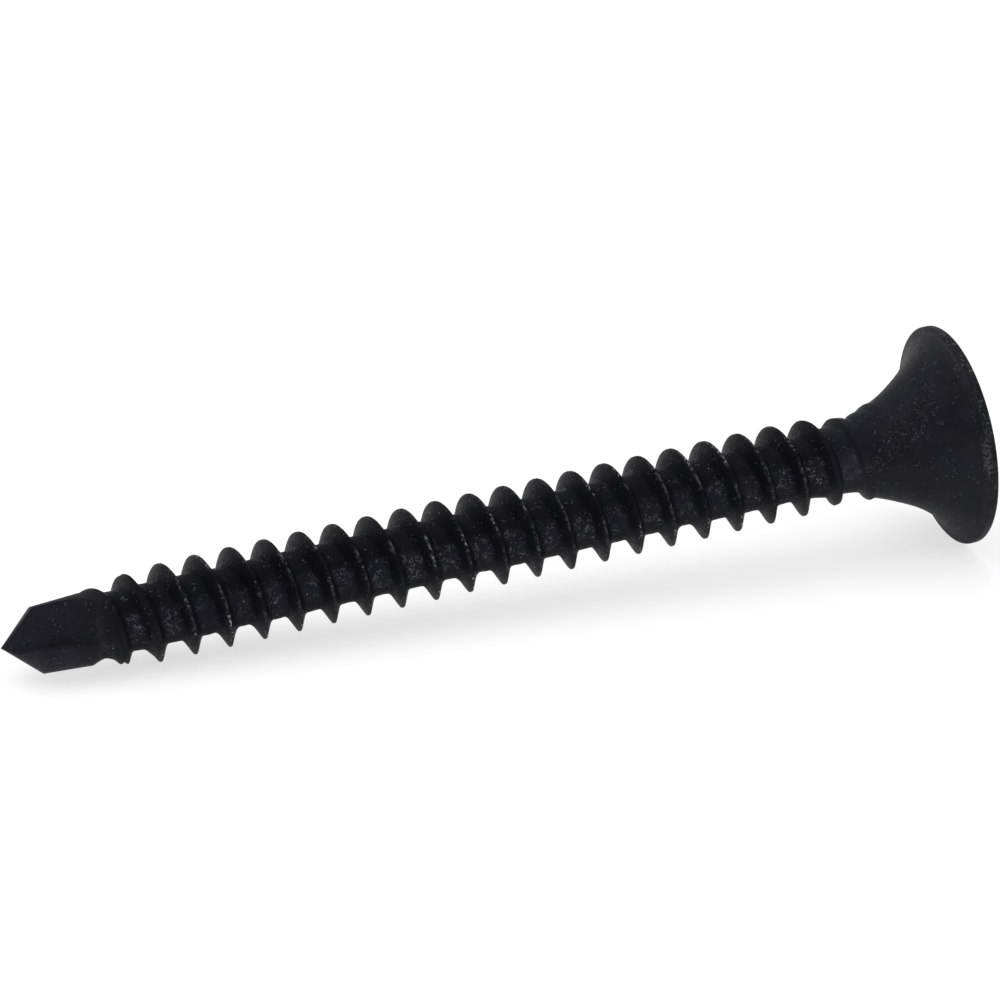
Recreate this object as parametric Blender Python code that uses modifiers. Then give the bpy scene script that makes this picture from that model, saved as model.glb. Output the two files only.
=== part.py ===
"""A self-drilling drywall screw with a bugle head, lying at rest on a floor.

The screw is one solid: a two-flute drill point, a single-start right-hand thread that
runs up to the neck, and a bugle head with a cross recess in its flat top.
It is modelled along its own axis, with its tip at the origin and its head at +Z, and is
then laid down so that it rests on the head's rim and on the thread near the point.
"""

import math

import bmesh
import bpy
from mathutils import Matrix

MM = 0.001

# Overall
LENGTH = 38.0 * MM
FACETS = 28                      # flats round a turned form, and steps in one turn of thread

# Head
HEAD_DIAMETER = 8.35 * MM
RIM_LAND = 0.38 * MM             # straight band round the head's edge
RIM_ROUND = 0.10 * MM            # rounding at both edges of that band
NECK_DIAMETER = 2.53 * MM
NECK_TAPER = 0.60 * MM           # the neck runs down into the thread's root over this length
FLARE_LENGTH = 5.20 * MM         # bugle curve, from the neck to the rim band
FLARE_FULLNESS = 1.66            # exponent of that curve: 1 is a cone, 2 an ellipse
FLARE_STEPS = 9
FLARE_CROWDING = 1.5             # draws the curve's points together near the rim

# Cross recess
RECESS_WIDTH = 4.8 * MM
RECESS_FLOOR_WIDTH = 2.0 * MM
RECESS_DEPTH = 2.5 * MM
WING_THICKNESS = 1.1 * MM
WING_FLOOR_THICKNESS = 0.8 * MM
CORE_DIAMETER = 2.6 * MM
CORE_FLOOR_DIAMETER = 1.5 * MM
CORE_POINT_DEPTH = 0.4 * MM      # the recess is deepest in its middle
CORE_FACETS = 12

# Thread
THREAD_DIAMETER = 3.56 * MM
ROOT_DIAMETER = 2.37 * MM
PITCH = 1.351 * MM
CREST_WIDTH = 0.04 * MM
RIDGE_WIDTH = 0.70 * MM          # across a ridge where its flanks meet the fillets
FILLET_WIDTH = 0.10 * MM         # run of the fillet along the root
FILLET_HEIGHT = 0.025 * MM
RUN_IN_LEAD = 0.20 * MM          # from the drill body's end to where the thread rises
RUN_IN_LENGTH = 2.60 * MM
RUN_IN_DIAMETER = 2.79 * MM
FADE_LEAD = 0.79 * MM            # the crests begin to fall this far before the neck
FADE_LENGTH = 2.97 * MM
FADE_DIAMETER = 2.81 * MM
SPARE_TURNS = 2                  # turns of full thread that are trimmed off at each end

# Drill point
POINT_ANGLE = math.radians(84.0)
DRILL_DIAMETER = 2.50 * MM       # at the shoulders of the point
DRILL_END_DIAMETER = 2.71 * MM
DRILL_LENGTH = 3.23 * MM
DRILL_TAPER = 0.44 * MM          # from the drill body down to the thread's root
FLUTE_TURN = math.radians(7.0)   # direction that the first flute faces
FLUTE_LENGTH = 2.0 * MM          # straight part of a flute, from the tip
FLUTE_LEAN = math.radians(6.0)   # a flute turns the way the thread does
FLUTE_END_RADIUS = 2.2 * MM      # the flute's floor curves out to the surface
FLUTE_END_STEPS = 8
FLUTE_CORNER = 0.12 * MM
WEB_TIP_THICKNESS = 0.42 * MM    # metal between the two flutes
WEB_END_THICKNESS = 0.82 * MM
LIP_OFFSET = 0.25 * MM           # from the middle plane to a cutting face, at the tip

# How the forms meet
OVERREACH = 0.5 * MM             # how far a tool reaches past the surface that it shapes
BURIED = 0.15 * MM               # how far a joined form starts under its neighbour's surface
MERGE = 0.0005 * MM

# At rest, a flat of the rim is on the floor
SPIN_AT_REST = -9.5 * 2.0 * math.pi / FACETS

# Places along the axis, worked out from the sizes above
NECK_START = LENGTH - RIM_LAND - FLARE_LENGTH
RUN_IN_START = DRILL_LENGTH + RUN_IN_LEAD
FADE_START = NECK_START - FADE_LEAD

# Black phosphate coating
COATING_COLOUR = (0.012, 0.012, 0.0145, 1.0)
COATING_ROUGHNESS = 0.48
COATING_METALLIC = 0.55
CORNER_ANGLE = math.radians(32.0)   # edges sharper than this are shaded as corners


def clear_scene():
    for item in list(bpy.data.objects):
        bpy.data.objects.remove(item, do_unlink=True)


def new_collection(name):
    collection = bpy.data.collections.new(name)
    bpy.context.scene.collection.children.link(collection)
    return collection


def coating():
    """Black phosphate: near black, a little blue, dull with a soft sheen."""
    material = bpy.data.materials.new("black_phosphate")
    material.use_nodes = True
    shader = material.node_tree.nodes["Principled BSDF"]
    shader.inputs["Base Color"].default_value = COATING_COLOUR
    shader.inputs["Roughness"].default_value = COATING_ROUGHNESS
    shader.inputs["Metallic"].default_value = COATING_METALLIC
    material.diffuse_color = COATING_COLOUR
    return material


def mesh_object(name, corners, edges, faces, collection):
    mesh = bpy.data.meshes.new(name)
    mesh.from_pydata(corners, edges, faces)
    item = bpy.data.objects.new(name, mesh)
    collection.objects.link(item)
    return item


def outline_object(name, points, collection):
    """An open line through (radius, height) points, ready to be turned about Z."""
    corners = [(radius, 0.0, height) for radius, height in points]
    edges = [(i, i + 1) for i in range(len(points) - 1)]
    return mesh_object(name, corners, edges, [], collection)


def add_turning(item, facets, turns=1, rise=0.0):
    """Turns an outline about Z, rising by a given height in each turn."""
    screw = item.modifiers.new("Turn", "SCREW")
    screw.axis = "Z"
    screw.angle = 2.0 * math.pi
    screw.screw_offset = rise
    screw.iterations = turns
    screw.steps = facets
    screw.render_steps = facets
    screw.use_merge_vertices = True
    screw.merge_threshold = MERGE


def turned(name, points, collection, facets=FACETS):
    """A turned solid whose outline runs down its outer side."""
    item = outline_object(name, points, collection)
    add_turning(item, facets)
    return item


def evaluated_mesh(item):
    graph = bpy.context.evaluated_depsgraph_get()
    return bpy.data.meshes.new_from_object(item.evaluated_get(graph))


def arc(centre, radius, start, end, steps):
    """Points along an arc, its ends included."""
    angles = [start + (end - start) * i / steps for i in range(steps + 1)]
    return [(centre[0] + radius * math.cos(a), centre[1] + radius * math.sin(a)) for a in angles]


def flare_point(share):
    """A point of the bugle's curve, at a share of its length above the neck."""
    spread = (HEAD_DIAMETER - NECK_DIAMETER) / 2
    swell = 1 - (1 - share ** FLARE_FULLNESS) ** (1 / FLARE_FULLNESS)
    return NECK_DIAMETER / 2 + spread * swell, NECK_START + FLARE_LENGTH * share


def head_outline():
    """Flat top, rounded rim band and bugle flare, down to the neck."""
    rim = HEAD_DIAMETER / 2 - RIM_ROUND
    points = [(0.0, LENGTH)]
    points += arc((rim, LENGTH - RIM_ROUND), RIM_ROUND, math.pi / 2, 0.0, 2)
    points += arc((rim, LENGTH - RIM_LAND + RIM_ROUND), RIM_ROUND, 0.0, -math.pi / 4, 2)
    for i in range(1, FLARE_STEPS + 1):
        points.append(flare_point(1 - (i / FLARE_STEPS) ** FLARE_CROWDING))
    return points


def drill_outline():
    """The drill body, which narrows a little towards the shoulders, and its conical point."""
    point_length = DRILL_DIAMETER / 2 / math.tan(POINT_ANGLE / 2)
    return [
        (DRILL_END_DIAMETER / 2, DRILL_LENGTH),
        (DRILL_DIAMETER / 2, point_length),
        (0.0, 0.0),
    ]


def blank(collection):
    """The screw before its thread and recess: head, shank and drill point in one turned form."""
    shank = ROOT_DIAMETER / 2 - BURIED
    points = head_outline()
    points += [(shank, NECK_START - NECK_TAPER), (shank, DRILL_LENGTH + DRILL_TAPER)]
    points += drill_outline()
    return turned("blank", points, collection)


def thread_envelope(collection):
    """The space that the threaded rod may fill: the thread tapers at both of its ends."""
    over_crest = THREAD_DIAMETER / 2 + OVERREACH
    slope_in = (THREAD_DIAMETER - RUN_IN_DIAMETER) / 2 / RUN_IN_LENGTH
    slope_out = (THREAD_DIAMETER - FADE_DIAMETER) / 2 / FADE_LENGTH
    full_from = RUN_IN_START + RUN_IN_LENGTH + OVERREACH / slope_in
    full_to = FADE_START - OVERREACH / slope_out
    in_drill = ROOT_DIAMETER / 2 - BURIED
    points = [
        (0.0, FADE_START + FADE_LENGTH),
        (FADE_DIAMETER / 2, FADE_START + FADE_LENGTH),
        (over_crest, full_to),
        (over_crest, full_from),
        (RUN_IN_DIAMETER / 2, RUN_IN_START),
        (in_drill, RUN_IN_START),
        (in_drill, RUN_IN_START - OVERREACH),
        (0.0, RUN_IN_START - OVERREACH),
    ]
    return turned("thread_envelope", points, collection)


def pitch_outline(foot):
    """One pitch of the thread, down its outer side, from a fillet to the next ridge's fillet."""
    root = ROOT_DIAMETER / 2
    crest = THREAD_DIAMETER / 2
    middle = foot + PITCH / 2
    return [
        (root, middle + PITCH - RIDGE_WIDTH / 2 - FILLET_WIDTH),
        (root, middle + RIDGE_WIDTH / 2 + FILLET_WIDTH),
        (root + FILLET_HEIGHT, middle + RIDGE_WIDTH / 2),
        (crest, middle + CREST_WIDTH / 2),
        (crest, middle - CREST_WIDTH / 2),
        (root + FILLET_HEIGHT, middle - RIDGE_WIDTH / 2),
        (root, middle - RIDGE_WIDTH / 2 - FILLET_WIDTH),
    ]


def close_ends(mesh):
    """Closes each open end with a fan of faces to a point near the axis."""
    work = bmesh.new()
    work.from_mesh(mesh)
    rim = [edge for edge in work.edges if edge.is_boundary]
    caps = bmesh.ops.holes_fill(work, edges=rim, sides=0)["faces"]
    bmesh.ops.poke(work, faces=caps)
    bmesh.ops.recalc_face_normals(work, faces=work.faces)
    work.to_mesh(mesh)
    work.free()


def threaded_rod(name, collection):
    """A closed length of full thread, with spare turns at both ends."""
    foot = RUN_IN_START - OVERREACH - SPARE_TURNS * PITCH
    top = FADE_START + FADE_LENGTH + SPARE_TURNS * PITCH
    item = outline_object(name, pitch_outline(foot - PITCH / 2), collection)
    add_turning(item, FACETS, turns=math.ceil((top - foot) / PITCH), rise=PITCH)
    weld = item.modifiers.new("Join turns", "WELD")
    weld.merge_threshold = MERGE
    item.data = evaluated_mesh(item)
    item.modifiers.clear()
    close_ends(item.data)
    # The crest would cross +X at the tip's height if the thread ran on to the tip
    item.data.transform(Matrix.Rotation(2.0 * math.pi * foot / PITCH, 4, "Z"))
    return item


def flute_outline():
    """A flute seen from its side: a floor that rises with the web, then curves out."""
    rise = (WEB_END_THICKNESS - WEB_TIP_THICKNESS) / 2
    lean = math.atan(rise / FLUTE_LENGTH)
    along = FLUTE_LENGTH - FLUTE_END_RADIUS * math.sin(lean)
    out = WEB_END_THICKNESS / 2 + FLUTE_END_RADIUS * math.cos(lean)
    curve = arc((along, out), FLUTE_END_RADIUS, lean - math.pi / 2, 0.0, FLUTE_END_STEPS)
    foot = WEB_TIP_THICKNESS / 2 - OVERREACH * math.tan(lean)
    return [(-OVERREACH, foot)] + curve + [(-OVERREACH, out)]


def flute(name, turn, collection):
    """A tool that cuts one flute, with its leaning cutting face at +Y."""
    slope = math.tan(FLUTE_LEAN)
    corners = [(out, LIP_OFFSET + slope * along, along) for along, out in flute_outline()]
    item = mesh_object(name, corners, [], [list(range(len(corners)))], collection)
    item.rotation_euler = (0.0, 0.0, FLUTE_TURN + turn)
    depth = item.modifiers.new("Depth", "SOLIDIFY")
    depth.thickness = LIP_OFFSET + DRILL_END_DIAMETER + OVERREACH
    depth.offset = -1.0
    corner = item.modifiers.new("Corner", "BEVEL")
    corner.width = FLUTE_CORNER
    corner.segments = 2
    corner.limit_method = "ANGLE"
    corner.angle_limit = math.radians(60.0)
    return item


def recess_wing(name, turn, collection):
    """A tapered slab that cuts two opposite wings of the cross recess."""
    floor = LENGTH - RECESS_DEPTH
    growth = 1 + OVERREACH / RECESS_DEPTH
    item = mesh_object(name, [], [], [], collection)
    work = bmesh.new()
    bmesh.ops.create_cube(work, size=1.0)
    for corner in work.verts:
        share = growth if corner.co.z > 0 else 0.0
        corner.co.x *= RECESS_FLOOR_WIDTH + (RECESS_WIDTH - RECESS_FLOOR_WIDTH) * share
        corner.co.y *= WING_FLOOR_THICKNESS + (WING_THICKNESS - WING_FLOOR_THICKNESS) * share
        corner.co.z = floor + RECESS_DEPTH * share
    work.to_mesh(item.data)
    work.free()
    item.rotation_euler = (0.0, 0.0, turn)
    return item


def recess_core(collection):
    """The recess's round middle, tapered and pointed at its floor."""
    growth = (CORE_DIAMETER - CORE_FLOOR_DIAMETER) / 2 * OVERREACH / RECESS_DEPTH
    floor = LENGTH - RECESS_DEPTH
    points = [
        (0.0, LENGTH + OVERREACH),
        (CORE_DIAMETER / 2 + growth, LENGTH + OVERREACH),
        (CORE_FLOOR_DIAMETER / 2, floor),
        (0.0, floor - CORE_POINT_DEPTH),
    ]
    return turned("recess_core", points, collection, CORE_FACETS)


def shape_with(item, tool, operation):
    """Joins, trims or cuts an object with a tool, which stays out of sight."""
    tool.parent = item.parent
    tool.hide_render = True
    tool.display_type = "WIRE"
    boolean = item.modifiers.new(f"{operation.title()} {tool.name}", "BOOLEAN")
    boolean.operation = operation
    boolean.object = tool
    # A thread's flanks are not quite flat, and the exact solver leaves gaps where they are cut
    boolean.solver = "MANIFOLD"


def shade_round(item):
    """Shades the shaped solid smooth, with its corners kept crisp."""
    group = bpy.data.node_groups.new("Smooth by angle", "GeometryNodeTree")
    group.interface.new_socket("Geometry", in_out="INPUT", socket_type="NodeSocketGeometry")
    group.interface.new_socket("Geometry", in_out="OUTPUT", socket_type="NodeSocketGeometry")
    source = group.nodes.new("NodeGroupInput")
    result = group.nodes.new("NodeGroupOutput")
    angle = group.nodes.new("GeometryNodeInputMeshEdgeAngle")
    blunt = group.nodes.new("FunctionNodeCompare")
    blunt.operation = "LESS_THAN"
    blunt.inputs[1].default_value = CORNER_ANGLE
    shade = group.nodes.new("GeometryNodeSetShadeSmooth")
    shade.domain = "EDGE"
    group.links.new(angle.outputs["Unsigned Angle"], blunt.inputs[0])
    group.links.new(source.outputs[0], shade.inputs["Geometry"])
    group.links.new(blunt.outputs[0], shade.inputs["Shade Smooth"])
    group.links.new(shade.outputs["Geometry"], result.inputs[0])
    item.modifiers.new("Smooth by angle", "NODES").node_group = group


def slope_at_rest(item):
    """The axis's slope when the rim and the thread touch the floor together."""
    spin = Matrix.Rotation(SPIN_AT_REST, 4, "Z")
    corners = [spin @ corner.co for corner in evaluated_mesh(item).vertices]
    lowest = max(corner.x for corner in corners)
    rim = min(corner.z for corner in corners if lowest - corner.x < MERGE)
    ahead = [corner for corner in corners if corner.z < rim - FLARE_LENGTH]
    return math.atan(min((lowest - corner.x) / (rim - corner.z) for corner in ahead))


def lay_down(rest, item):
    """Tips the head down to +X, then sets the screw on the floor, centred over the origin."""
    slope = slope_at_rest(item)
    rest.rotation_mode = "ZYX"
    rest.rotation_euler = (0.0, math.pi / 2 - slope, SPIN_AT_REST)
    bpy.context.view_layer.update()
    corners = [rest.matrix_world @ corner.co for corner in evaluated_mesh(item).vertices]
    rest.location.x = -(min(c.x for c in corners) + max(c.x for c in corners)) / 2
    rest.location.y = -(min(c.y for c in corners) + max(c.y for c in corners)) / 2
    rest.location.z = -min(c.z for c in corners)


def main():
    clear_scene()
    parts = new_collection("drywall_screw")
    tools = new_collection("cutters")
    rest = bpy.data.objects.new("screw_at_rest", None)
    parts.objects.link(rest)
    screw = threaded_rod("drywall_screw", parts)
    screw.parent = rest
    screw.data.materials.append(coating())
    shape_with(screw, thread_envelope(tools), "INTERSECT")
    shape_with(screw, blank(tools), "UNION")
    for number, turn in enumerate((0.0, math.pi)):
        shape_with(screw, flute(f"flute_{number + 1}", turn, tools), "DIFFERENCE")
    shape_with(screw, recess_core(tools), "DIFFERENCE")
    for number, turn in enumerate((0.0, math.pi / 2)):
        shape_with(screw, recess_wing(f"recess_wing_{number + 1}", turn, tools), "DIFFERENCE")
    shade_round(screw)
    lay_down(rest, screw)


main()
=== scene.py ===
"""The looks of a self-drilling drywall screw in black phosphate, lying on a white floor."""

import math
from types import SimpleNamespace

import bmesh
import bpy
import numpy as np
from mathutils import Matrix, Vector


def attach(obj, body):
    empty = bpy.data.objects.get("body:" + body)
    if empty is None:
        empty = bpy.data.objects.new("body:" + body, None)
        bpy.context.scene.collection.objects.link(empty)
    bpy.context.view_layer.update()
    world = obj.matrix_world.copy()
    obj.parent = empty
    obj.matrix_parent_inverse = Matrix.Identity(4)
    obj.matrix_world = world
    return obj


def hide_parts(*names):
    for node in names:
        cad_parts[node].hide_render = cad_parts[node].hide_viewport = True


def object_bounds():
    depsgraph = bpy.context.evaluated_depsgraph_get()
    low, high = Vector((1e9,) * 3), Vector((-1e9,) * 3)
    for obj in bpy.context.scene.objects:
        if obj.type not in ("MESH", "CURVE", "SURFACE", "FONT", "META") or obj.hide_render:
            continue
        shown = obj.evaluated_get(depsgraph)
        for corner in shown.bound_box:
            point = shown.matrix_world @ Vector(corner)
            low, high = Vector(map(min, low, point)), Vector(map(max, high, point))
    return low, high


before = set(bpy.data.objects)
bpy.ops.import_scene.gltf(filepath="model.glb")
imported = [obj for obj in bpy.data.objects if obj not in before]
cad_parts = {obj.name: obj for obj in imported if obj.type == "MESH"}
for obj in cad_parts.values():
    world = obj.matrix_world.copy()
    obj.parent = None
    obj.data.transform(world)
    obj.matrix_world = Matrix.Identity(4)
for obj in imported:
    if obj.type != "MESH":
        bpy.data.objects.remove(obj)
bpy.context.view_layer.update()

MM = 0.001
FULL_TURN = 2.0 * math.pi

# The screw's sizes, in mm along its own axis from the tip, as in the solid
LENGTH = 38.0
RIM_LAND = 0.38
RIM_ROUND = 0.10
NECK_TAPER = 0.60
FLARE_LENGTH = 5.20
FLARE_FULLNESS = 1.66
RECESS_WIDTH = 4.8
RECESS_FLOOR_WIDTH = 2.0
RECESS_DEPTH = 2.5
WING_THICKNESS = 1.1
WING_FLOOR_THICKNESS = 0.8
CORE_DIAMETER = 2.6
CORE_FLOOR_DIAMETER = 1.5
CORE_POINT_DEPTH = 0.4
ROOT_DIAMETER = 2.37
PITCH = 1.351
CREST_WIDTH = 0.04
RIDGE_WIDTH = 0.70
FILLET_HEIGHT = 0.025
RUN_IN_LEAD = 0.20
RUN_IN_DIAMETER = 2.79
FADE_LEAD = 0.79
FADE_LENGTH = 2.97
FADE_DIAMETER = 2.81
POINT_ANGLE = math.radians(84.0)
DRILL_DIAMETER = 2.50
DRILL_END_DIAMETER = 2.71
DRILL_LENGTH = 3.23
FLUTE_TURN = math.radians(7.0)
FLUTE_LENGTH = 2.0
FLUTE_LEAN = math.radians(6.0)
FLUTE_END_RADIUS = 2.2
WEB_TIP_THICKNESS = 0.42
WEB_END_THICKNESS = 0.82
LIP_OFFSET = 0.25

# Sizes that differ a little from the solid's
HEAD_DIAMETER = 8.44
NECK_DIAMETER = 2.61
THREAD_DIAMETER = 3.65
FIRST_TURNS_DIAMETER = 3.56
FIRST_TURNS_RANGE = (6.4, 8.0)   # where the thread grows from that to its full diameter
RUN_IN_LENGTH = 2.20
RUN_IN_CUT = 0.55                # how steeply the thread is cut off before its start
DRILL_TAPER = 0.62
DRILL_TAPER_CURVE = 1.6
FLUTE_CORNER = 0.50

# How it lies, as in the solid
SOLID_FACETS = 28
SPIN_AT_REST = -9.5 * FULL_TURN / SOLID_FACETS
SLOPE_AT_REST = math.radians(4.3102)
TIP_AT_REST = Vector((-19.0984, 0.0, 1.3021))

# Worked out from the sizes above
RIM_START = LENGTH - RIM_LAND
NECK_START = RIM_START - FLARE_LENGTH
RUN_IN_START = DRILL_LENGTH + RUN_IN_LEAD
FADE_START = NECK_START - FADE_LEAD
POINT_LENGTH = DRILL_DIAMETER / 2 / math.tan(POINT_ANGLE / 2)
RECESS_FLOOR = LENGTH - RECESS_DEPTH

# Roundings that the solid leaves out
CREST_ROUND = 0.045              # where the crest meets the flanks
CREST_BLEND = 0.03               # where the crest starts to rise or fall
BODY_BLEND = 0.05                # where the drill's taper meets the root
ROOT_ROUND = 0.15                # where the flanks meet the root
START_ROUND_MORE = 0.22          # added in front on the first turns, whose start is soft
START_ROUND_RANGE = (4.6, 6.0)
START_ROUND_MIDDLE = math.radians(15.0)
START_ROUND_SIDES = (0.15, 0.6)  # cosines of the angle from the middle, from none to full
RECESS_CORNER = 0.14             # along the edges of the recess's wings

# Every few turns the root is hollow
HOLLOW_ROUND_MORE = 0.16
HOLLOW_DEPTH = 0.04
HOLLOW_PERIOD = 6.5              # turns from one hollow root to the next
HOLLOW_FIRST = 6.65              # turns from the tip
HOLLOW_NARROWNESS = 4            # power of the wave, which keeps the hollow short
HOLLOW_END = NECK_START - 1.5

# A groove that rolling leaves on a crest that isn't full
SEAM_DEPTH = 0.08
SEAM_WIDTH = 0.05
SEAM_RANGE = (3.8, 4.2, 4.5, 5.8)

# The first turn starts nearer to the tip than its pitch puts it, and so does a place on the next
RUN_IN_DRIFT = 0.34
RUN_IN_DRIFT_END = 4.3
LEAN_IN = 0.11
LEAN_IN_RANGE = (4.6, 5.1, 5.25, 5.7)

# A faint last turn of thread on the flare, and the groove before it, which keeps to the neck
GHOST_HEIGHT = 0.15
GHOST_WIDTH = 0.20
GHOST_RANGE = (33.3, 33.9, 34.0, 35.5)
GROOVE_DELAY = 0.60
GROOVE_RANGE = (33.65, 34.20)    # where the groove ends
GROOVE_FOOT_DEPTH = 0.075
GROOVE_FOOT_WIDTH = 0.05
GROOVE_FOOT_AHEAD = 0.26

# The flare's narrow end sits a little to one side of the axis
SAG = 0.055
SAG_ANGLE = math.radians(122.0)
SAG_RANGE = (33.9, 34.7, 35.3, 36.5)

# Unevenness of the crest: pace along the thread, start and height of each wave, as shares
CREST_UNEVEN = 0.014
CREST_LOWER = 0.4
CREST_WAVES = (
    (1.7, 0.6, 0.35),
    (4.3, 2.1, 0.245),
    (9.1, 0.0, 0.175),
    (17.3, 2.5708, 0.15),
    (44.7, -0.5708, 0.15),
)

# Unevenness of the root: pace round the axis and along it, start and height of each wave
ROOT_UNEVEN = 0.014
ROOT_WAVES = (
    (2.0, 3.1, 0.0, 0.5),
    (3.0, -5.3, 1.0, 0.4),
    (1.0, 9.7, 0.0, 0.35),
    (5.0, 13.1, 0.0, 0.25),
)
ROOT_WAVES_RANGE = (RUN_IN_START, RUN_IN_START + 0.8, NECK_START, NECK_START + 0.8)

# How finely the piece is made
COLUMNS = 112                    # steps in a turn
ROWS_ACROSS_RIDGE = 18           # rows of points across one ridge
ROWS_ACROSS_ROOT = 5
RIDGE_REACH = 0.46               # half the width that the ridge's rows cover
THREAD_GRID_START = 2.9
THREAD_GRID_END = 35.5
DRILL_RINGS = 22                 # rings on the point, and as many on the drill's body
TIP_RING = 0.004                 # height of the first ring
SHOULDER_RINGS = np.array([-0.03, -0.015, 0.0, 0.015, 0.05])   # heights from the drill's shoulder
SHOULDER_SHAVE = 0.008           # taken off the drill's shoulder, so that it isn't razor sharp
FLARE_RINGS = 44
FLARE_RING_CROWDING = 1.9
FLARE_STOP = 0.09                # the flare's rings end this far inside the rim
RIM_RINGS = 6
RIM_ARC_START = -70.0            # degrees, where the rim's lower rounding leaves the flare
BAND_RINGS = 3
TOP_RINGS = 33
TOP_MIDDLE = 0.05                # radius of the last ring on the head's top
MERGE = 0.0004
OVERREACH = 0.5
FLUTE_STEPS = 40
FLUTE_CORNER_STEPS = 6
RECESS_CORNER_STEPS = 5
CORE_STEPS = 48
SHARP_BEVEL_ANGLE = math.radians(60.0)
SHARP_SHADING_ANGLE = math.radians(35.0)

# Worn crests and rim, which also carry painted highlights: depths below the full radius, from unworn
# to worn
WEAR_AND_HIGHLIGHT_DEPTHS = (0.10, 0.02)
RIM_WEAR_AND_HIGHLIGHT = 0.25

# The thread's root: heights above its radius, from deep to open
ROOT_HEIGHTS = (0.05, 0.25)
ROOT_START = (DRILL_LENGTH, DRILL_LENGTH + 0.5)

# Where the root is rough with crystals and painted lighter, by angle round the axis: partly real
# grain, partly painted light for light falling on the root from the low front
ROUGH_AND_PAINTED_LIGHT_ANGLES = [math.radians(degrees) for degrees in (27.0, 150.0, -95.0)]
ROUGH_AND_PAINTED_LIGHT_CORE = math.radians(15.2)
ROUGH_AND_PAINTED_LIGHT_REACH = math.radians(38.0)

# A worn place on the rim, by its angle round the axis
SCUFF_ANGLE = math.radians(22.0)
SCUFF_CORE = math.radians(6.5)
SCUFF_REACH = math.radians(13.0)
SCUFF_RANGE = (RIM_START - 0.12, RIM_START - 0.03, RIM_START, RIM_START + 0.2)

# A speckled streak on the flare: heights, and its angle in degrees round the axis at each
STREAK_HEIGHTS = (34.0, 35.0, 36.3, 37.5)
STREAK_ANGLES = (30.0, -2.0, -24.0, -27.0)
STREAK_CORE = math.radians(6.8)
STREAK_REACH = math.radians(34.0)
STREAK_RANGE = (33.8, 34.3, 36.4, 37.2)

# The drill and head ends, painted lighter than the thread: painted light, as the thread's ridges don't
# shade them
DRILL_END_RANGE = (DRILL_LENGTH - 0.1, DRILL_LENGTH + 1.0)
HEAD_END_RANGE = (NECK_START - 0.4, NECK_START + 0.8)
TIP_RANGE = (1.8, DRILL_LENGTH)
DRILL_BACK_SHARE = 0.53          # of the tip's lightness, behind the drill's tip
HEAD_SHARE = 0.56                # of the tip's lightness, on the head

# Black phosphate, and what shows through it
BASE_DARK = (0.0088, 0.0080, 0.0128, 1.0)
BASE_LIGHT = (0.0130, 0.0126, 0.0184, 1.0)
BASE_TEAL = (0.0074, 0.0134, 0.0154, 1.0)
BASE_BROWN = (0.0128, 0.0114, 0.0142, 1.0)
# painted light: the drill and head ends are painted lighter than the thread
OPEN_PAINTED_LIGHTER = (2.65, 2.9, 2.65, 1.0)        # times the thread's colour, at the tip
# partly painted light: the rough root is painted lighter, standing in for light from the low front
ROUGH_PAINTED_LIGHTER = (2.2, 2.2, 2.2, 1.0)         # the same, where the root is rough
WHITE = (1.0, 1.0, 1.0, 1.0)
PIT = (0.0015, 0.0015, 0.0020, 1.0)
# partly wear, partly painted highlight: the light dashes along the crests and rim
WORN_AND_HIGHLIGHT = (0.20, 0.20, 0.205, 1.0)
# painted highlight: glints on the worn crests and rim
GLINT = (0.42, 0.42, 0.43, 1.0)
SCUFFED = (0.15, 0.15, 0.16, 1.0)
CRYSTAL = (0.25, 0.25, 0.275, 1.0)
SPECULAR = 0.15
SPECULAR_TINT = (0.94, 0.91, 1.0, 1.0)
METAL_SHARE = 0.85               # of a crystal or glint that looks metallic

# The coating's noises: scale to a millimetre, detail and roughness
NOISES = {
    "cloud": (0.8, 3.0, 0.6),
    "teal": (0.75, 2.0, 0.5),
    "brown": (0.7, 2.0, 0.5),
    "clump": (2.6, 2.0, 0.5),
    "patch": (5.0, 1.0, 0.5),
    "turn": (0.55, 1.0, 0.5),
    "fine": (8.0, 3.0, 0.6),
    "finest": (20.0, 2.0, 0.6),
    "dash": (1.3, 1.0, 0.5),
    "glint": (9.0, 1.0, 0.5),
    "glint_group": (0.9, 1.0, 0.5),
}

# Between which values of a noise, or of a chance, something goes from none to full
CLOUD_RANGE = (0.35, 0.65)
TEAL_RANGE = (0.50, 0.64)
BROWN_RANGE = (0.50, 0.66)
ROOT_CLUMP_RANGE = (0.38, 0.54)
ROOT_PATCH_RANGE = (0.40, 0.56)
LOOSE_CLUMP_RANGE = (0.52, 0.64)
STREAK_PATCH_RANGE = (0.42, 0.58)
CRYSTAL_CHANCE_RANGE = (0.50, 0.90)
STRAY_CHANCE_RANGE = (0.92, 0.99)
PIT_CHANCE_RANGE = (0.14, 0.08)
LARGE_CHANCE_RANGE = (0.955, 0.975)
LARGE_DISTANCE_RANGE = (0.5, 0.25)
LARGE_CLUMP_RANGE = (0.46, 0.56)
DASH_RANGE = (0.44, 0.60)
DASH_GROUP_RANGE = (0.40, 0.58)
GLINT_RANGE = (0.58, 0.64)
GLINT_GROUP_RANGE = (0.48, 0.56)
SCUFF_SPOT_RANGE = (0.42, 0.58)

# The same, followed by what it goes from and to
TURN_SHARES = (0.38, 0.56, 0.35, 1.0)
TEAL_SHARES = (0.0, 0.5, 0.9, 0.45)
STRAY_STREAK_SHARES = (0.0, 1.0, 1.0, 0.55)
LARGE_STREAK_SHARES = (0.0, 1.0, 1.0, 0.3)
LARGE_OPEN_SHARES = (0.0, 0.5, 1.0, 0.45)
ROUGHNESSES = (0.3, 0.7, 0.40, 0.54)

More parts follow.
